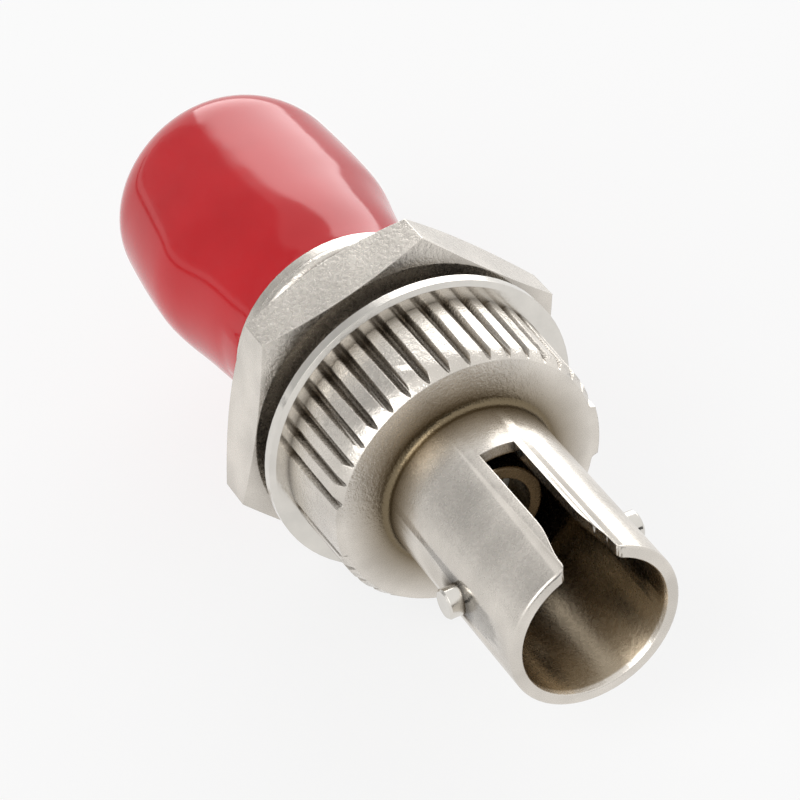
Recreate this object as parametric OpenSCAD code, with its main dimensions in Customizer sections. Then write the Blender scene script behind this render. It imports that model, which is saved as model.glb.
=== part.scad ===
// Bulkhead coupler for two bayonet fibre plugs: a cast front half with a knurled
// collar and a threaded stem, a second half pressed into its back, a split sleeve
// between them, a panel washer and nut, and a vinyl cap over the rear socket.
// The axis runs along Y. The open front socket points to -Y and its keyway is up.
// The origin is on the axis, in the panel seat at the back of the collar.

/* [Socket] */
// Outer diameter of each plug barrel
barrel_d = 7.0; // [6.6:0.05:7.4]
// Bore of each plug barrel
bore_d = 6.0; // [5.6:0.05:6.2]
// Depth of the bore, from the rim to the floor
bore_depth = 10.3; // [9.6:0.1:11]
// Rim of the front barrel, ahead of the panel seat
front_rim = 13.3; // [12.8:0.1:14.5]
// Rim of the rear barrel, behind the panel seat
rear_rim = 16.35; // [15.8:0.05:17]
// Rounding of the rim's outer edge
rim_round = 0.14; // [0.05:0.01:0.2]
// Fillet where the front barrel leaves the collar
root_fillet = 0.25; // [0.1:0.05:0.6]

/* [Keyway] */
// Width of the straight part of the keyway
keyway_w = 1.44; // [1.2:0.02:1.8]
// Length of the keyway, from the rim
keyway_len = 7.0; // [6:0.1:7.6]
// Width of the flared mouth, before its corners
mouth_w = 2.1; // [1.9:0.05:2.6]
// Length over which the keyway flares
flare_len = 2.7; // [2:0.1:3.5]
// Rounding of the mouth's two corners
mouth_round = 0.32; // [0.1:0.02:0.5]

/* [Bayonet pins] */
// Diameter of a bayonet pin
pin_d = 1.2; // [1:0.05:1.4]
// Distance over the ends of a pair of pins
pin_span = 8.2; // [7.9:0.05:8.8]
// Distance from the rim to the centre of the pins
pin_depth = 3.98; // [3.6:0.05:4.4]
// Chamfer on the free end of a pin
pin_chamfer = 0.08; // [0.02:0.01:0.15]

/* [Sleeve and its boss] */
// Outer diameter of the boss that holds the sleeve
boss_d = 4.0; // [3.8:0.05:4.4]
// Distance from the rim to the end of the boss
boss_depth = 7.45; // [7.2:0.05:8]
// Hole in the lip of the boss, which lets a ferrule in
lip_hole_d = 2.96; // [2.7:0.02:3.05]
// Outer diameter of the split sleeve
sleeve_d = 3.2; // [3.15:0.01:3.25]
// Bore of the split sleeve, which grips a ferrule
sleeve_bore_d = 2.5; // [2.49:0.01:2.52]
// Length of the split sleeve
sleeve_len = 11.4; // [10.5:0.1:11.6]
// Width of the slit in the sleeve
sleeve_slit = 0.35; // [0.2:0.05:0.6]
// Gap between the sleeve and its pocket, all round
sleeve_gap = 0.04; // [0.02:0.01:0.06]
// Play of the sleeve along its pocket
sleeve_play = 0.15; // [0.05:0.05:0.3]

/* [Collar] */
// Thickness of the collar
collar_t = 3.8; // [3:0.1:5]
// Diameter over the teeth at the back of the collar
collar_d = 11.5; // [11:0.1:12.4]
// Draft of the collar, on the radius from back to front
collar_draft = 0.1; // [0:0.02:0.2]
// Number of tooth pitches round the collar
pitches = 40; // [36:4:44]
// Radius of the foot of the grooves between teeth
groove_foot_r = 5.42; // [5.2:0.02:5.45]
// Share of a pitch that a groove takes
groove_share = 0.62; // [0.4:0.02:0.8]
// Grooves left out on each side, where the mould halves part
plain_grooves = 2; // [2:2:4]
// Chamfer at the front of the teeth, on the radius
tooth_chamfer_r = 0.24; // [0.1:0.02:0.35]
// Chamfer at the front of the teeth, along the axis
tooth_chamfer_z = 0.4; // [0.2:0.05:0.6]

/* [Threaded stem] */
// Outer diameter of the thread, 3/8 inch
thread_d = 9.525; // [9.4:0.025:9.7]
// Length of the stem behind the panel seat
stem_len = 6.4; // [6:0.1:7]
// Chamfer at the end of the stem
stem_chamfer = 0.1; // [0.05:0.05:0.3]
// Diameter of the relief behind the collar
relief_d = 8.7; // [8.4:0.05:8.9]
// Width of the relief behind the collar
relief_w = 0.8; // [0.5:0.1:1.2]
// Wall between the stem's bore and the front bore, from the panel seat back
web_back = 0.5; // [0.3:0.1:1]

/* [Rear half] */
// Diameter of the plug pressed into the stem
plug_d = 7.4; // [7.2:0.05:7.6]
// Diameter of the flange that seats on the stem's end
flange_d = 9.36; // [9:0.02:9.4]
// Thickness of the flange
flange_t = 0.45; // [0.3:0.05:0.7]

/* [Washer] */
// Outer diameter of the panel washer
washer_d = 13.06; // [12.6:0.02:13.5]
// Thickness of the panel washer
washer_t = 0.47; // [0.3:0.01:0.8]
// Gap between the washer's hole and the thread, all round
washer_gap = 0.15; // [0.1:0.01:0.3]
// Width of the bevel on the washer's front edge
washer_bevel_r = 0.24; // [0.1:0.02:0.3]
// Depth of the bevel on the washer's front edge
washer_bevel_z = 0.07; // [0.04:0.01:0.12]

/* [Nut] */
// Size of the nut across its flats, 1/2 inch
nut_af = 12.7; // [12.4:0.05:13]
// Thickness of the nut
nut_t = 2.35; // [2:0.05:3]
// Gap between the washer and the nut as it stands
nut_stand_off = 1.18; // [0.9:0.02:1.4]
// Turn of the nut about the axis as it stands
nut_turn = 17.1; // [0:0.1:60]
// Gap between the nut's bore and the thread, all round
nut_gap = 0.03; // [0.02:0.01:0.06]
// Diameter of the flat ring on the nut's front
nut_face_d = 12.64; // [12:0.02:12.7]
// Drop of the nut's front corners
nut_drop_front = 0.35; // [0.2:0.05:0.5]
// Drop of the nut's back corners
nut_drop_back = 0.55; // [0.3:0.05:0.7]
// Chamfer at each end of the nut's bore
nut_bore_chamfer = 0.35; // [0.2:0.05:0.5]

/* [Dust cap] */
// Gap between the flange and the cap's lip
cap_stand_off = 1.75; // [1.3:0.05:2.2]
// Length of the cap
cap_len = 12.0; // [11.6:0.1:13]
// Outer diameter of the cap away from the pins
cap_d = 9.3; // [9.1:0.05:9.8]
// Rise of the cap's skin over each pin
cap_bulge = 0.68; // [0.6:0.02:0.9]
// Spread of the bulge round the cap, in degrees
cap_bulge_a = 46; // [36:1:60]
// Draw-in of the cap towards its lip
cap_draw_in = 0.4; // [0.2:0.02:0.45]
// Length of the domed end
cap_dome = 3.5; // [3:0.1:3.9]
// Wall at the middle of the domed end
cap_end_wall = 1.0; // [0.8:0.1:1.4]
// Least wall over the pins
cap_wall = 0.42; // [0.36:0.02:0.5]
// Rounding of the lip, along the axis
cap_lip_round = 0.4; // [0.2:0.05:0.5]
// Gap between the cap and what it covers
cap_gap = 0.06; // [0.03:0.01:0.1]

/* [Hidden] */
$fn = 96;

barrel_r = barrel_d / 2;
bore_r = bore_d / 2;
pin_r = pin_d / 2;
boss_r = boss_d / 2;
pocket_r = sleeve_d / 2 + sleeve_gap;
thread_r = thread_d / 2;
flange_r = flange_d / 2;
collar_r = collar_d / 2;
pitch_a = 360 / pitches;
groove_w = groove_share * collar_r * sin(pitch_a);
land_a = (plain_grooves + 1) / 2 * pitch_a;
nut_bore_r = thread_r + nut_gap;
nut_front = -washer_t - nut_stand_off;
flange_back = -stem_len - flange_t;
front_boss = front_rim - boss_depth;
rear_boss = boss_depth - rear_rim;
pocket_len = sleeve_len + sleeve_play;
pocket_mid = (front_boss + rear_boss) / 2;
rear_pin_z = pin_depth - rear_rim;
lip_z = flange_back - cap_stand_off;
cap_end = lip_z - cap_len;
cap_sides = 64;
dome_power = 2.3;
cap_draw_len = 1.2;
pin_a = atan2(pin_r, pin_span / 2);
channel_ease = 14;
rear_pin_u = -rear_pin_z;
channel_end = rear_pin_u + pin_r + 0.1;
swell_u = rear_pin_u + 1.1;
swell_front = 2.5;
swell_back = 5.8;
plug_end_gap = 0.1;
boss_round = 0.12;
eps = 0.01;

metal = [0.72, 0.68, 0.60];
bright = [0.80, 0.78, 0.74];
red = [0.78, 0.06, 0.06];
white = [0.93, 0.92, 0.88];

// Points of a quarter circle about c, from angle a0 to a1
function arc(c, r, a0, a1, n = 6) =
    [for (i = [0:n]) c + r * [cos(a0 + (a1 - a0) * i / n), sin(a0 + (a1 - a0) * i / n)]];

// Lays the working axis (z) along -Y, with the keyway side (y) up
module lay() {
    rotate([90, 0, 0])
        children();
}

// Half-width of the keyway at depth d below the rim
function keyway_half(d) =
    let (t = (flare_len - d) / (flare_len - mouth_round))
    keyway_w / 2 + (mouth_w - keyway_w) / 4 * (1 - cos(180 * min(1, max(0, t))));

// One edge of the keyway: flare, then the rounded corner of the mouth
function keyway_edge() = concat(
    [[keyway_w / 2, -keyway_len]],
    [for (i = [0:8]) let (d = flare_len + (mouth_round - flare_len) * i / 8) [keyway_half(d), -d]],
    arc([mouth_w / 2 + mouth_round, -mouth_round], mouth_round, 180, 90, 4),
    [[mouth_w / 2 + mouth_round, 1]]
);

// Slot through the barrel's wall for a plug's key, cut down from the rim at z = 0
module keyway() {
    edge = keyway_edge();
    other = [for (i = [len(edge) - 1:-1:0]) [-edge[i].x, edge[i].y]];
    translate([0, barrel_r + 1, 0])
        rotate([90, 0, 0])
            linear_extrude(barrel_r + 1 - (bore_r + boss_r) / 2)
                polygon(concat(edge, other));
}

// Space inside a plug barrel: bore and the ring-shaped recess round the boss
module socket_space() {
    rotate_extrude()
        polygon(concat(
            [[0, 1], [bore_r + rim_round / 3, 1], [bore_r + rim_round / 3, 0]],
            [[bore_r, -rim_round / 3], [bore_r, -bore_depth], [boss_r, -bore_depth]],
            arc([boss_r - boss_round, -boss_depth - boss_round], boss_round, 0, 90),
            [[0, -boss_depth]]
        ));
}

// Everything cut from a half of the body, measured from its rim at z = 0
module socket_cuts() {
    socket_space();
    keyway();
    translate([0, 0, -pin_depth])
        rotate([0, 90, 0])
            cylinder(r = pin_r, h = 2 * barrel_r + 1, center = true);
    translate([0, 0, -boss_depth - 1])
        cylinder(d = lip_hole_d, h = 2);
}

// Pocket for the split sleeve, shared by both halves, with the lip holes beyond it
module sleeve_pocket() {
    translate([0, 0, pocket_mid - pocket_len / 2])
        cylinder(r = pocket_r, h = pocket_len);
    translate([0, 0, rear_boss - eps])
        cylinder(d = lip_hole_d, h = front_boss - rear_boss + 2 * eps);
}

// Outline of a plug barrel from its root fillet at z0 to its rim at z1
function barrel_outline(z0, z1) = concat(
    arc([barrel_r + root_fillet, z0 + root_fillet], root_fillet, 270, 180),
    arc([barrel_r - rim_round, z1 - rim_round], rim_round, 0, 90),
    [[0, z1]]
);

// Flute between two teeth, with a rounded foot and edges that run into the crests
module groove() {
    half = groove_w / 2;
    depth = collar_r - groove_foot_r;
    run = [for (i = [-4:4]) [half * i / 4, groove_foot_r + depth / 2 * (1 - cos(45 * i))]];
    translate([0, 0, -1])
        linear_extrude(collar_t + 2)
            polygon(concat(run, [[half, collar_r + 1], [-half, collar_r + 1]]));
}

// Flutes all round the collar, left out where the halves of the mould meet
module grooves() {
    for (i = [0:pitches - 1])
        let (a = (i + 0.5) * pitch_a)
            if (abs(abs(a - 180) - 90) > plain_grooves / 2 * pitch_a)
                rotate([0, 0, a])
                    groove();
}

// Chamfer across the front of the teeth on one side of the collar
module tooth_chamfer() {
    top_r = collar_r - collar_draft;
    rotate([0, 0, land_a])
        rotate_extrude(angle = 180 - 2 * land_a)
            polygon([
                [top_r - tooth_chamfer_r, collar_t],
                [collar_r, collar_t - tooth_chamfer_z * (1 + collar_draft / tooth_chamfer_r)],
                [collar_r + 1, collar_t - tooth_chamfer_z],
                [collar_r + 1, collar_t + 1],
                [top_r - tooth_chamfer_r, collar_t + 1]
            ]);
}

// Front half: stem, collar, barrel and boss, cast in one piece
module front_housing() {
    relief_r = relief_d / 2;
    step = thread_r - relief_r;
    color(metal)
        lay()
            difference() {
                rotate_extrude()
                    polygon(concat(
                        [[0, -stem_len], [thread_r - stem_chamfer, -stem_len]],
                        [[thread_r, stem_chamfer - stem_len], [thread_r, -relief_w]],
                        [[relief_r, step - relief_w], [relief_r, 0]],
                        [[collar_r, 0], [collar_r - collar_draft, collar_t]],
                        barrel_outline(collar_t, front_rim)
                    ));
                translate([0, 0, front_rim])
                    socket_cuts();
                sleeve_pocket();
                translate([0, 0, -stem_len - 1])
                    cylinder(d = plug_d, h = stem_len + 1 - web_back);
                grooves();
                for (side = [0, 180])
                    rotate([0, 0, side])
                        tooth_chamfer();
            }
}

// Rear half: barrel and boss on a flanged plug that is pressed into the stem
module rear_housing() {
    color(metal)
        lay()
            difference() {
                union() {
                    mirror([0, 0, 1])
                        rotate_extrude()
                            polygon(concat(
                                [[0, stem_len], [flange_r, stem_len], [flange_r, -flange_back]],
                                barrel_outline(-flange_back, rear_rim)
                            ));
                    translate([0, 0, -stem_len - eps])
                        cylinder(d = plug_d, h = stem_len - web_back - plug_end_gap + eps);
                }
                translate([0, 0, -rear_rim])
                    mirror([0, 0, 1])
                        socket_cuts();
                sleeve_pocket();
            }
}

// Split sleeve that lines up two ferrules, free to float in its pocket
module alignment_sleeve() {
    color(white)
        lay()
            translate([0, 0, pocket_mid])
                difference() {
                    cylinder(d = sleeve_d, h = sleeve_len, center = true);
                    cylinder(d = sleeve_bore_d, h = sleeve_len + 1, center = true);
                    translate([0, -sleeve_d / 2, 0])
                        cube([sleeve_slit, sleeve_d, sleeve_len + 1], center = true);
                }
}

// Pin pressed into a barrel's wall, at height z on the side given by turn
module pin(z, turn) {
    color(bright)
        lay()
            translate([0, 0, z])
                rotate([0, 90, turn])
                    rotate_extrude()
                        polygon([
                            [0, bore_r], [pin_r, bore_r], [pin_r, pin_span / 2 - pin_chamfer],
                            [pin_r - pin_chamfer, pin_span / 2], [0, pin_span / 2]
                        ]);
}

module front_pin_left() {
    pin(front_rim - pin_depth, 180);
}

module front_pin_right() {
    pin(front_rim - pin_depth, 0);
}

module rear_pin_left() {
    pin(rear_pin_z, 180);
}

module rear_pin_right() {
    pin(rear_pin_z, 0);
}

// Washer that backs the panel, loose on the thread
module panel_washer() {
    color(bright)
        lay()
            rotate_extrude()
                polygon([
                    [thread_r + washer_gap, 0], [washer_d / 2 - washer_bevel_r, 0],
                    [washer_d / 2, -washer_bevel_z], [washer_d / 2, -washer_t],
                    [thread_r + washer_gap, -washer_t]
                ]);
}

// Hexagon nut with turned-off corners at both faces
module hex_nut() {
    corner_r = nut_af / 2 / cos(30);
    face_r = nut_face_d / 2;
    mouth_r = nut_bore_r + nut_bore_chamfer;
    color(metal)
        lay()
            translate([0, 0, nut_front])
                difference() {
                    intersection() {
                        translate([0, 0, -nut_t])
                            rotate([0, 0, nut_turn])
                                cylinder(r = corner_r, h = nut_t, $fn = 6);
                        rotate_extrude()
                            polygon([
                                [0, 0], [face_r, 0], [corner_r, -nut_drop_front],
                                [corner_r + 1, -nut_drop_front], [corner_r + 1, nut_drop_back - nut_t],
                                [corner_r, nut_drop_back - nut_t], [face_r, -nut_t], [0, -nut_t]
                            ]);
                    }
                    rotate_extrude()
                        polygon([
                            [0, 1], [mouth_r, 1], [mouth_r, 0], [nut_bore_r, -nut_bore_chamfer],
                            [nut_bore_r, nut_bore_chamfer - nut_t], [mouth_r, -nut_t],
                            [mouth_r, -nut_t - 1], [0, -nut_t - 1]
                        ]);
                }
}

// Angle between the direction a and the nearer pair of pins
function from_pins(a) = 90 - abs(abs(a - 180) - 90);

// Rises smoothly from 0 to 1 as t goes from 0 to 1
function ease(t) = (1 - cos(180 * min(1, max(0, t)))) / 2;

// Inner radius of the cap at angle a and distance u behind the panel seat: it fits
// the barrel, with a channel on each side that lets the pins out
function cap_inner(a, u) =
    let (side = ease((pin_a + 5 + channel_ease - from_pins(a)) / channel_ease))
    let (deep = ease((channel_end + 0.5 - u) / 0.5))
    barrel_r + cap_gap + (norm([pin_span / 2, pin_r]) - barrel_r) * side * deep;

// Outer radius of the cap's side wall at the same place
function cap_outer(a, u) =
    let (swell = (u - swell_u) / (u < swell_u ? swell_front : swell_back))
    let (drawn = (u + lip_z) / cap_draw_len)
    let (spread = from_pins(a) / cap_bulge_a)
    let (skin = cap_d / 2 - cap_draw_in * exp(-drawn * drawn)
        + cap_bulge * exp(-swell * swell - spread * spread))
    max(skin, cap_inner(a, u) + cap_wall);

// Rings of the cap as functions of the angle: each row is [radius, distance]
function cap_column(a) =
    let (edge_u = cap_lip_round - lip_z)
    let (r_in = cap_inner(a, edge_u), r_out = cap_outer(a, edge_u))
    let (hollow_end = -cap_end - cap_end_wall, dome_u = -cap_end - cap_dome)
    concat(
        [for (t = [75:-15:0]) let (u = rear_rim + (hollow_end - rear_rim) * sin(t))
            [cap_inner(a, u) * cos(t), u]],
        [for (u = [rear_rim - 1, channel_end + 0.5, channel_end + 0.25, channel_end, rear_pin_u])
            [cap_inner(a, u), u]],
        [for (t = [0:22.5:180])
            [(r_in + r_out) / 2 - (r_out - r_in) / 2 * cos(t), edge_u - cap_lip_round * sin(t)]],
        [for (i = [1:12]) let (u = edge_u + (dome_u - edge_u) * i / 12) [cap_outer(a, u), u]],
        [for (t = [12:12:84]) let (u = dome_u + cap_dome * sin(t))
            [cap_outer(a, u) * pow(1 - pow(sin(t), dome_power), 1 / dome_power), u]]
    );

// Cap over the rear barrel: a skin of rings from the hollow end, round the lip,
// to the middle of the dome
module dust_cap() {
    columns = [for (j = [0:cap_sides - 1]) cap_column(j * 360 / cap_sides)];
    rings = len(columns[0]);
    points = concat(
        [for (i = [0:rings - 1], j = [0:cap_sides - 1])
            let (p = columns[j][i], a = j * 360 / cap_sides)
                [p.x * cos(a), p.x * sin(a), -p.y]],
        [[0, 0, cap_end + cap_end_wall], [0, 0, cap_end]]
    );
    last = len(points) - 1;
    faces = concat(
        [for (i = [0:rings - 2], j = [0:cap_sides - 1])
            let (k = (j + 1) % cap_sides)
                [i * cap_sides + j, (i + 1) * cap_sides + j, (i + 1) * cap_sides + k, i * cap_sides + k]],
        [for (j = [0:cap_sides - 1]) [last - 1, j, (j + 1) % cap_sides]],
        [for (j = [0:cap_sides - 1])
            [last, (rings - 1) * cap_sides + (j + 1) % cap_sides, (rings - 1) * cap_sides + j]]
    );
    color(red)
        lay()
            polyhedron(points, faces, convexity = 6);
}

front_housing();
rear_housing();
alignment_sleeve();
front_pin_left();
front_pin_right();
rear_pin_left();
rear_pin_right();
panel_washer();
hex_nut();
dust_cap();
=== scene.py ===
"""Looks for a bayonet fibre bulkhead coupler: nickel castings, bright pins and washer, red soft cap."""
import math
from collections import namedtuple

import bmesh
import bpy
from mathutils import Matrix, Vector


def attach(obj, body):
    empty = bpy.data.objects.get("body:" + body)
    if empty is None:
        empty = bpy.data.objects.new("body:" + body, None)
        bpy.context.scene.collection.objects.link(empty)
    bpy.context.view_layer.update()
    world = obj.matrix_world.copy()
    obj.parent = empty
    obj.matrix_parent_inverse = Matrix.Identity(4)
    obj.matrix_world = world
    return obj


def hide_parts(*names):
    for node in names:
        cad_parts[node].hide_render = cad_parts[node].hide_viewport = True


# Lengths are in millimetres, apart from those of the set, which are in metres
MM = 0.001
COUPLER = "coupler"

# Rear barrel under the cap, as distances behind the panel seat and radii
BARREL_R = 3.5
REAR_RIM = 16.35
PIN_U, PIN_R, PIN_TIP = 12.37, 0.6, 4.1

# Cap: its lip, length, dome and walls
LIP_U, CAP_LEN, CAP_DOME, END_WALL = 6.95, 13.65, 3.5, 1.0
CAP_R, CAP_WALL, CAP_GAP = 4.65, 0.3, 0.06
LIP_ROUND = 0.4
DOME_POWER = 2.3
# Narrow neck towards the lip, as depth and length
NECK_IN, NECK_LEN = 0.32, 2.0
# Bulge over each pin: rise, spread round the cap in degrees, centre, and fade to each side
BULGE, BULGE_SPREAD = 0.68, 46
BULGE_U, BULGE_FRONT, BULGE_BACK = PIN_U + 1.1, 2.5, 5.8
# Channel inside each bulge, which lets the pins out: margin and ease in degrees, end and its ease
CHANNEL_MARGIN, CHANNEL_EASE = 5, 14
CHANNEL_END, CHANNEL_END_EASE = PIN_U + PIN_R + 0.1, 0.5
# Lean that a hand leaves in the outer skin, per millimetre past LEAN_FROM
LEAN, LEAN_FROM = (0.028, 0.006), 12

# Thread on the stem, 3/8 inch with 32 pitches to the inch
STEM_R = 4.7625
PITCH = 25.4 / 32
THREAD_START, THREAD_STOP = -0.35, -5.95
THREAD_DEPTH, THREAD_MOUTH, FLANK_DEGREES = 0.44, 0.88 * PITCH, 30
THREAD_PROUD = 0.05

# Metal colours, and the colour of the painted shade in hollows
NICKEL = (0.71, 0.665, 0.605)
BRIGHT = (0.74, 0.71, 0.66)
HOLLOW_SHADE = (0.06, 0.043, 0.025, 1)

# Set, in metres
LENS, SENSOR = 157.52, 36
CAMERA_AT = (-0.042992, -0.094251, 0.086357)
CAMERA_RIGHT = (0.88298, -0.463204, -0.076083)
CAMERA_UP = (0.34739, 0.535805, 0.769567)
CAMERA_BACK = (-0.315701, -0.705942, 0.634018)
FLOOR_Z, FLOOR_HALF = -0.0074, 1.2
WORLD_STRENGTH = 0.42
FLOOR_GLOW = 0.8


# ---------------------------------------------------------------- geometry


def place(x, y, s):
    """Point of the part: x across, y towards the keyway, s ahead of the panel seat."""
    return Vector((x * MM, -s * MM, y * MM))


def link_object(name, data):
    obj = bpy.data.objects.new(name, data)
    bpy.context.collection.objects.link(obj)
    return obj


def mesh_object(name, verts, faces, smooth=True):
    mesh = bpy.data.meshes.new(name)
    mesh.from_pydata(verts, [], faces)
    bm = bmesh.new()
    bm.from_mesh(mesh)
    bmesh.ops.recalc_face_normals(bm, faces=bm.faces)
    bm.to_mesh(mesh)
    bm.free()
    for polygon in mesh.polygons:
        polygon.use_smooth = smooth
    return link_object(name, mesh)


def rings_object(name, rings, poles=None):
    """Closed skin through rings of points, with a pole or else a flat face at each end."""
    n = len(rings[0])
    verts = [p for ring in rings for p in ring]
    faces = []
    for i in range(len(rings) - 1):
        for j in range(n):
            k = (j + 1) % n
            faces.append((i * n + j, (i + 1) * n + j, (i + 1) * n + k, i * n + k))
    last = (len(rings) - 1) * n
    if poles is None:
        faces.append(tuple(range(n)))
        faces.append(tuple(last + j for j in range(n)))
    else:
        verts += poles
        a, b = len(verts) - 2, len(verts) - 1
        for j in range(n):
            k = (j + 1) % n
            faces.append((a, j, k))
            faces.append((b, last + k, last + j))
    return mesh_object(name, verts, faces)


def ease(t):
    """Rises smoothly from 0 to 1 as t goes from 0 to 1."""
    t = min(1.0, max(0.0, t))
    return (1 - math.cos(math.pi * t)) / 2


# ---- the cap: angles in degrees from a pin, u is the distance behind the panel seat


def from_pins(a):
    """Angle between the direction a and the nearer line of pins."""
    return 90 - abs(abs(a - 180) - 90)


def cap_inner(a, u):
    corner = math.hypot(PIN_TIP, PIN_R)
    pin_a = math.degrees(math.atan2(PIN_R, PIN_TIP))
    side = ease((pin_a + CHANNEL_MARGIN + CHANNEL_EASE - from_pins(a)) / CHANNEL_EASE)
    deep = ease((CHANNEL_END + CHANNEL_END_EASE - u) / CHANNEL_END_EASE)
    return BARREL_R + CAP_GAP + (corner - BARREL_R) * side * deep


def cap_outer(a, u):
    swell = (u - BULGE_U) / (BULGE_FRONT if u < BULGE_U else BULGE_BACK)
    drawn = (u - LIP_U) / NECK_LEN
    skin = CAP_R - NECK_IN * math.exp(-drawn * drawn)
    skin += BULGE * math.exp(-swell * swell - (from_pins(a) / BULGE_SPREAD) ** 2)
    return max(skin, cap_inner(a, u) + CAP_WALL)


def cap_column(a):
    """Section of the cap at angle a, from the hollow's end round the lip to the dome.

    Each point is (radius, u, share of the lean that it takes)."""
    edge = LIP_U + LIP_ROUND
    r_in, r_out = cap_inner(a, edge), cap_outer(a, edge)
    hollow, dome = LIP_U + CAP_LEN - END_WALL, LIP_U + CAP_LEN - CAP_DOME
    column = []
    for t in range(80, -1, -10):
        u = REAR_RIM + (hollow - REAR_RIM) * math.sin(math.radians(t))
        column.append((cap_inner(a, u) * math.cos(math.radians(t)), u, 0))
    for u in (15.35, 13.57, 13.4, 13.25, 13.07, 12.4, 11.0, 9.6, 8.2):
        column.append((cap_inner(a, u), u, 0))
    for t in range(0, 181, 15):
        turn = math.cos(math.radians(t))
        r = (r_in + r_out) / 2 - (r_out - r_in) / 2 * turn
        column.append((r, edge - LIP_ROUND * math.sin(math.radians(t)), (1 - turn) / 2))
    wall_rows = 36
    for i in range(1, wall_rows + 1):
        u = edge + (dome - edge) * i / wall_rows
        column.append((cap_outer(a, u), u, 1))
    dome_rows, dome_step = 19, 4.6
    for i in range(1, dome_rows + 1):
        rise = math.sin(math.radians(i * dome_step))
        u = dome + CAP_DOME * rise
        column.append((cap_outer(a, u) * (1 - rise ** DOME_POWER) ** (1 / DOME_POWER), u, 1))
    return column


def build_cap(sides=128):
    columns = [cap_column(j * 360 / sides) for j in range(sides)]
    rings = []
    for i in range(len(columns[0])):
        ring = []
        for j, column in enumerate(columns):
            r, u, out = column[i]
            a = 2 * math.pi * j / sides
            lean = out * max(0.0, u - LEAN_FROM)
            ring.append(place(r * math.cos(a) + LEAN[0] * lean, r * math.sin(a) + LEAN[1] * lean, -u))
        rings.append(ring)
    end = LIP_U + CAP_LEN
    tip = end - LEAN_FROM
    poles = [place(0, 0, END_WALL - end), place(LEAN[0] * tip, LEAN[1] * tip, -end)]
    return rings_object("soft_cap", rings, poles)


# ---- the thread: a helical groove cut into the stem


def thread_cutter(steps=72):
    """Right-handed V groove as a closed swept bar that runs out at its far end."""
    count = int((THREAD_START - THREAD_STOP) / PITCH * steps)
    run_out = steps * 0.4
    slope = math.tan(math.radians(FLANK_DEGREES))
    rings = []
    for i in range(count + 1):
        a = 2 * math.pi * i / steps
        s = THREAD_START - PITCH * i / steps
        fade = min(1.0, (count - i) / run_out)
        r_top, r_foot = STEM_R + THREAD_PROUD, STEM_R - THREAD_DEPTH * fade
        w_top = THREAD_MOUTH / 2 * max(fade, 0.15) + THREAD_PROUD * slope
        w_foot = max(0.02, w_top - (r_top - r_foot) * slope)
        corners = ((r_top, w_top), (r_foot, w_foot), (r_foot, -w_foot), (r_top, -w_top))
        rings.append([place(r * math.sin(a), r * math.cos(a), s + w) for r, w in corners])
    return rings_object("thread_cutter", rings)


def cut_thread(housing):
    """Cuts the thread from the housing with modifiers, which leave its own mesh as it is."""
    cutter = thread_cutter()
    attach(cutter, COUPLER)
    cutter.hide_render = True
    weld = housing.modifiers.new("weld", "WELD")
    weld.merge_threshold = 1e-6
    cut = housing.modifiers.new("thread", "BOOLEAN")
    cut.operation = "DIFFERENCE"
    cut.object = cutter
    cut.solver = "EXACT"


# ---------------------------------------------------------------- materials


class Nodes:
    """Small helper round one material's node tree."""

    def __init__(self, name):
        self.material = bpy.data.materials.new(name)
        self.material.use_nodes = True
        self.tree = self.material.node_tree
        self.shader = self.tree.nodes["Principled BSDF"]

    def add(self, kind, inputs=None, **values):
        node = self.tree.nodes.new(kind)
        for key, value in (inputs or {}).items():
            node.inputs[key].default_value = value
        for key, value in values.items():
            setattr(node, key, value)
        return node

    def link(self, a, b):
        self.tree.links.new(a, b)

    def feed(self, socket, value):
        """Sets a socket to a plain value, or links an output to it."""
        if isinstance(value, (int, float, tuple)):
            socket.default_value = value
        else:
            self.link(value, socket)

    def coords(self):
        return self.add("ShaderNodeTexCoord").outputs["Object"]

    def noise(self, vector, size_mm, detail, rough):
        inputs = {"Scale": 1 / (size_mm * MM), "Detail": detail, "Roughness": rough}
        node = self.add("ShaderNodeTexNoise", inputs)
        self.link(vector, node.inputs["Vector"])
        return node.outputs["Fac"]

    def span(self, value, low, high, to_low, to_high):
        inputs = {"From Min": low, "From Max": high, "To Min": to_low, "To Max": to_high}
        node = self.add("ShaderNodeMapRange", inputs)
        self.link(value, node.inputs["Value"])
        return node.outputs["Result"]

    def math(self, operation, *values):
        node = self.add("ShaderNodeMath", operation=operation)
        for i, value in enumerate(values):
            self.feed(node.inputs[i], value)
        return node.outputs[0]

    def mix(self, factor, a, b):
        node = self.add("ShaderNodeMix", data_type="RGBA")
        self.link(factor, node.inputs[0])
        self.feed(node.inputs[6], a)
        self.feed(node.inputs[7], b)
        return node.outputs[2]

    def bump(self, height, strength, distance_mm, normal=None):
        node = self.add("ShaderNodeBump", {"Distance": distance_mm * MM})
        self.feed(node.inputs["Strength"], strength)
        self.link(height, node.inputs["Height"])
        if normal is not None:
            self.link(normal, node.inputs["Normal"])
        return node.outputs["Normal"]

    def edge_round(self, radius_mm):
        return self.add("ShaderNodeBevel", {"Radius": radius_mm * MM}, samples=6).outputs["Normal"]

    def finish(self, colour, normal, roughness, metallic=0.0):
        """Feeds the shader: colour, normal and roughness vary, metallic is plain."""
        self.link(colour, self.shader.inputs["Base Color"])
        self.link(normal, self.shader.inputs["Normal"])
        self.feed(self.shader.inputs["Roughness"], roughness)
        self.shader.inputs["Metallic"].default_value = metallic
        return self.material


# Painted reflection and shade in a ring-shaped zone, standing in for the surroundings the metal would
# show: full inside radius inner and gone past outer, between the distances start and end ahead of the
# panel seat, which fade over the length soft
Tint = namedtuple("Tint", "colour strength inner outer start end soft")

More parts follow.
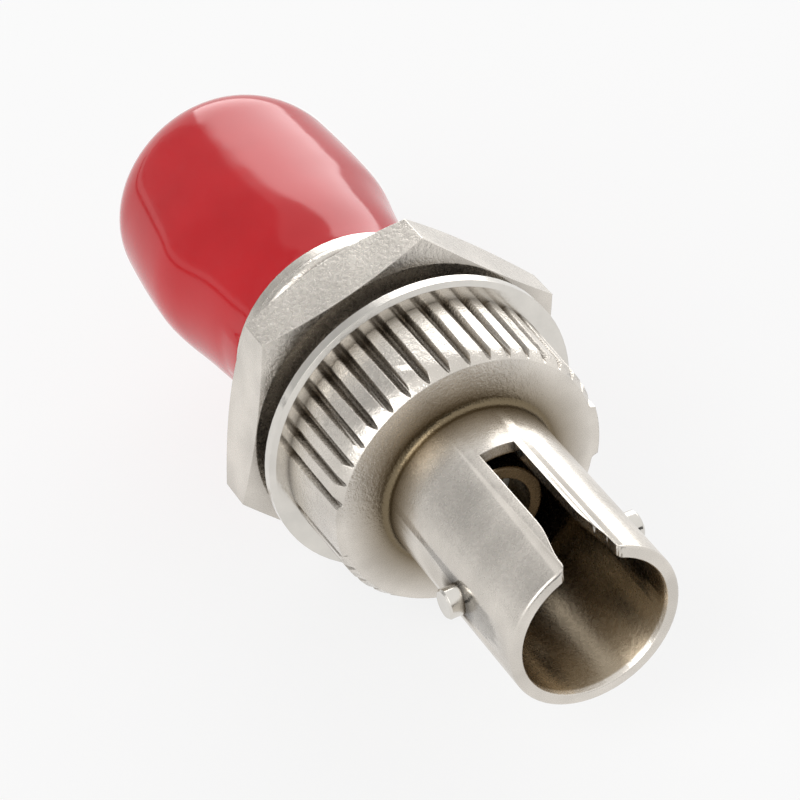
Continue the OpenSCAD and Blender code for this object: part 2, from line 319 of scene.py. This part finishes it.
# Everything behind the panel seat, for a zone with no back limit
BEHIND = -20
# Painted dark reflections and shade: in the bore, on the boss end, on the collar face and round the
# barrel root
SOCKET_REFLECTION = Tint((0.30, 0.235, 0.15), 0.85, 3.02, 3.12, BEHIND, 13.0, 0.1)
BOSS_END_REFLECTION = Tint((0.22, 0.16, 0.095), 0.6, 2.05, 2.2, BEHIND, 6.2, 0.1)
COLLAR_FACE_REFLECTION = Tint((0.20, 0.15, 0.085), 0.92, 3.7, 5.3, 3.7, 4.1, 0.1)
BARREL_ROOT_REFLECTION = Tint((0.22, 0.17, 0.10), 0.75, 3.7, 3.8, 4.1, 4.3, 1.6)
# Painted golden-brown reflection in the nut's mouth
NUT_MOUTH_REFLECTION = Tint((0.62, 0.45, 0.20), 0.8, 5.0, 5.2, -9, 0, 0.1)


def along_axis(n):
    """Distance ahead of the panel seat and distance from the axis, both in millimetres."""
    split = n.add("ShaderNodeSeparateXYZ")
    n.link(n.coords(), split.inputs[0])
    ahead = n.math("MULTIPLY", split.outputs[1], -1 / MM)
    x2 = n.math("MULTIPLY", split.outputs[0], split.outputs[0])
    z2 = n.math("MULTIPLY", split.outputs[2], split.outputs[2])
    out = n.math("MULTIPLY", n.math("SQRT", n.math("ADD", x2, z2)), 1 / MM)
    return ahead, out


def clouded(n, cloud, dark, light):
    return n.mix(n.span(cloud, 0.35, 0.65, 0, 1), dark, light)


# Paints a reflection or shade into the colour within the zone
def with_painted_reflection(n, colour, painted_zone, ahead, out):
    mask = n.math("MULTIPLY", n.span(out, painted_zone.inner, painted_zone.outer, 1, 0), painted_zone.strength)
    mask = n.math("MULTIPLY", mask, n.span(ahead, painted_zone.start - painted_zone.soft, painted_zone.start, 0, 1))
    mask = n.math("MULTIPLY", mask, n.span(ahead, painted_zone.end, painted_zone.end + painted_zone.soft, 1, 0))
    return n.mix(mask, colour, painted_zone.colour + (1,))


# Painted shade: darkens the colour where ambient occlusion finds a hollow, as if shade fell there
def painted_hollow_shade(n, colour, reach_mm):
    shade = n.add("ShaderNodeAmbientOcclusion", {"Distance": reach_mm * MM}, samples=8)
    return n.mix(n.span(shade.outputs["AO"], 0.4, 0.95, 0.95, 0), colour, HOLLOW_SHADE)


def nickel(name, grit, smooth_from=None, painted_reflections=(), hollow_mm=0.7):
    """Nickel plate over a fine cast grit; past smooth_from the skin is turned and finer. Painted
    reflections and shade in given zones, and painted shade in hollows, colour it too.
    """
    n = Nodes(name)
    v = n.coords()
    coarse = n.noise(v, 0.19, 3.0, 0.55)
    fine = n.noise(v, 0.07, 2.0, 0.5)
    cloud = n.noise(v, 2.2, 2.0, 0.5)
    height = n.math("ADD", n.math("MULTIPLY", coarse, 0.65), n.math("MULTIPLY", fine, 0.35))
    ahead, out = along_axis(n)
    strength = grit
    if smooth_from is not None:
        strength = n.span(ahead, smooth_from - 0.15, smooth_from + 0.15, grit, grit * 0.22)
    dark = tuple(c * 0.86 for c in NICKEL) + (1,)
    light = tuple(c * 1.06 for c in NICKEL) + (1,)
    colour = clouded(n, cloud, dark, light)
    # painted reflections and shade in their zones
    for painted_zone in painted_reflections:
        colour = with_painted_reflection(n, colour, painted_zone, ahead, out)
    # painted shade in the hollows
    colour = painted_hollow_shade(n, colour, hollow_mm)
    normal = n.bump(height, strength, 0.05, n.edge_round(0.05))
    return n.finish(colour, normal, n.span(coarse, 0.3, 0.7, 0.23, 0.31), 1.0)


def polished(name):
    """Bright metal with faint waves."""
    n = Nodes(name)
    v = n.coords()
    cloud = n.noise(v, 1.4, 3.0, 0.6)
    wave = n.noise(v, 0.2, 3.0, 0.6)
    dark = tuple(c * 0.9 for c in BRIGHT) + (1,)
    colour = clouded(n, cloud, dark, BRIGHT + (1,))
    normal = n.bump(wave, 0.12, 0.03, n.edge_round(0.03))
    return n.finish(colour, normal, n.span(cloud, 0.3, 0.7, 0.12, 0.2), 1.0)


def red_vinyl():
    """Glossy soft vinyl, a little uneven."""
    n = Nodes("red_soft_vinyl")
    v = n.coords()
    cloud = n.noise(v, 3.5, 2.0, 0.5)
    fine = n.noise(v, 0.25, 3.0, 0.5)
    slow = n.noise(v, 2.5, 1.0, 0.4)
    colour = clouded(n, cloud, (0.58, 0.004, 0.010, 1), (0.64, 0.007, 0.014, 1))
    normal = n.bump(slow, 0.25, 0.12, n.bump(fine, 0.03, 0.01))
    n.shader.inputs["Subsurface Weight"].default_value = 0.15
    n.shader.inputs["Subsurface Scale"].default_value = 0.6 * MM
    n.shader.inputs["Subsurface Radius"].default_value = (1.0, 0.2, 0.1)
    n.shader.inputs["IOR"].default_value = 1.5
    return n.finish(colour, normal, n.span(fine, 0.3, 0.7, 0.1, 0.14))


def ceramic():
    n = Nodes("white_ceramic")
    grain = n.noise(n.coords(), 0.1, 2.0, 0.5)
    colour = n.mix(grain, (0.80, 0.78, 0.73, 1), (0.88, 0.87, 0.83, 1))
    return n.finish(colour, n.bump(grain, 0.1, 0.01), 0.25)


def floor_paper():
    """White paper that keeps the object's shadow and shows as white in the picture and in gloss."""
    n = Nodes("white_paper")
    n.shader.inputs["Base Color"].default_value = (0.9, 0.9, 0.9, 1)
    n.shader.inputs["Roughness"].default_value = 0.9
    glow = n.add("ShaderNodeEmission", {"Color": (1, 1, 1, 1)})
    path = n.add("ShaderNodeLightPath")
    seen = n.math("MAXIMUM", path.outputs["Is Camera Ray"], path.outputs["Is Glossy Ray"])
    seen = n.math("MAXIMUM", seen, path.outputs["Is Transmission Ray"])
    mix = n.add("ShaderNodeMixShader")
    n.link(n.math("MULTIPLY", seen, FLOOR_GLOW), mix.inputs[0])
    n.link(n.shader.outputs[0], mix.inputs[1])
    n.link(glow.outputs[0], mix.inputs[2])
    n.link(mix.outputs[0], n.tree.nodes["Material Output"].inputs["Surface"])
    return n.material


def matt(name, grey):
    n = Nodes(name)
    n.shader.inputs["Base Color"].default_value = (grey, grey, grey, 1)
    n.shader.inputs["Roughness"].default_value = 0.9
    return n.material


# ---------------------------------------------------------------- set


def add_camera():
    data = bpy.data.cameras.new("camera")
    data.lens, data.sensor_width = LENS, SENSOR
    data.clip_start, data.clip_end = 0.01, 10
    camera = link_object("camera", data)
    turn = Matrix((CAMERA_RIGHT, CAMERA_UP, CAMERA_BACK)).transposed().to_4x4()
    camera.matrix_world = Matrix.Translation(Vector(CAMERA_AT)) @ turn
    bpy.context.scene.camera = camera


def add_light(name, location, target, size, power):
    data = bpy.data.lights.new(name, "AREA")
    data.shape = "RECTANGLE"
    data.size, data.size_y = size
    data.energy = power
    light = link_object(name, data)
    light.location = location
    aim = Vector(target) - Vector(location)
    light.rotation_euler = aim.to_track_quat("-Z", "Y").to_euler()


def add_floor():
    h = FLOOR_HALF
    verts = [(-h, -h, FLOOR_Z), (h, -h, FLOOR_Z), (h, h, FLOOR_Z), (-h, h, FLOOR_Z)]
    floor = mesh_object("paper_floor", verts, [(0, 1, 2, 3)], smooth=False)
    floor.data.materials.append(floor_paper())


def add_card(name, direction, distance, size, grey):
    """Grey card that only reflections see, to give the metal something to show."""
    toward = Vector(direction).normalized()
    across = toward.cross(Vector((0, 0, 1))).normalized() * (size[0] / 2)
    up = across.cross(toward).normalized() * (size[1] / 2)
    middle = toward * distance
    corners = [middle - across - up, middle + across - up, middle + across + up, middle - across + up]
    card = mesh_object(name, corners, [(0, 1, 2, 3)], smooth=False)
    card.data.materials.append(matt(name + "_matt", grey))
    card.visible_camera = False
    card.visible_diffuse = False
    card.visible_shadow = False


def add_world():
    """White surroundings, seen as plain white by the camera and in gloss."""
    world = bpy.data.worlds.new("studio")
    bpy.context.scene.world = world
    world.use_nodes = True
    tree = world.node_tree
    ground = tree.nodes["Background"]
    ground.inputs["Color"].default_value = (1, 1, 1, 1)
    path = tree.nodes.new("ShaderNodeLightPath")
    seen = tree.nodes.new("ShaderNodeMath")
    seen.operation = "MAXIMUM"
    tree.links.new(path.outputs["Is Camera Ray"], seen.inputs[0])
    tree.links.new(path.outputs["Is Glossy Ray"], seen.inputs[1])
    span = tree.nodes.new("ShaderNodeMapRange")
    span.inputs["To Min"].default_value = WORLD_STRENGTH
    span.inputs["To Max"].default_value = 1.0
    tree.links.new(seen.outputs[0], span.inputs["Value"])
    tree.links.new(span.outputs[0], ground.inputs["Strength"])


def build_set():
    bpy.context.scene.view_settings.view_transform = "Standard"
    add_camera()
    add_floor()
    add_world()
    add_light("key", (-0.35, -0.15, 0.35), (0, 0, 0), (0.35, 0.35), 1.0)
    add_light("back_box", (0.24, 0.33, 0.17), (0, 0.005, 0), (0.46, 0.32), 1.15)
    add_card("card_left", (-0.47, 0.70, 0.50), 0.25, (0.26, 0.22), 0.75)
    add_card("card_line", (-0.70, 0.70, 0.02), 0.24, (0.3, 0.008), 0.02)
    add_card("card_front", (0.0, -0.98, 0.16), 0.15, (0.16, 0.05), 0.03)


# ---------------------------------------------------------------- the part


def skin(nodes, names, material):
    for name in names:
        for slot in nodes[name].material_slots:
            slot.material = material


def dress(nodes):
    """Gives every CAD node its finish."""
    # painted reflections and shade on the front casting; one more in the nut's mouth
    front_reflections = (SOCKET_REFLECTION, BOSS_END_REFLECTION, COLLAR_FACE_REFLECTION, BARREL_ROOT_REFLECTION)
    skin(nodes, ["front_housing"], nickel("cast_nickel_front", 0.8, smooth_from=4.0, painted_reflections=front_reflections))
    skin(nodes, ["rear_housing"], nickel("cast_nickel_rear", 0.2))
    skin(nodes, ["hex_nut"], nickel("cast_nickel_nut", 0.45, painted_reflections=(NUT_MOUTH_REFLECTION,), hollow_mm=1.6))
    pins = [end + "_pin_" + side for side in ("left", "right") for end in ("front", "rear")]
    skin(nodes, pins, polished("bright_pin"))
    skin(nodes, ["panel_washer"], polished("bright_washer"))
    skin(nodes, ["alignment_sleeve"], ceramic())


def add_cap():
    cap = build_cap()
    cap.data.materials.append(red_vinyl())
    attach(cap, "cap")
    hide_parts("dust_cap")


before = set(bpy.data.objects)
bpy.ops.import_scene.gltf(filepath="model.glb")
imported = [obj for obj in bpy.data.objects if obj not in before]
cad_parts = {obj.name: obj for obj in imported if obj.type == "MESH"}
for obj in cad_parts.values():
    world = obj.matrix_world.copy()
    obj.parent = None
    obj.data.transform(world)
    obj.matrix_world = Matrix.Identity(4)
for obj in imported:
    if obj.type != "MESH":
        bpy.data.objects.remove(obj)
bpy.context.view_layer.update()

build_set()
dress(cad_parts)
add_cap()
cut_thread(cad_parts["front_housing"])
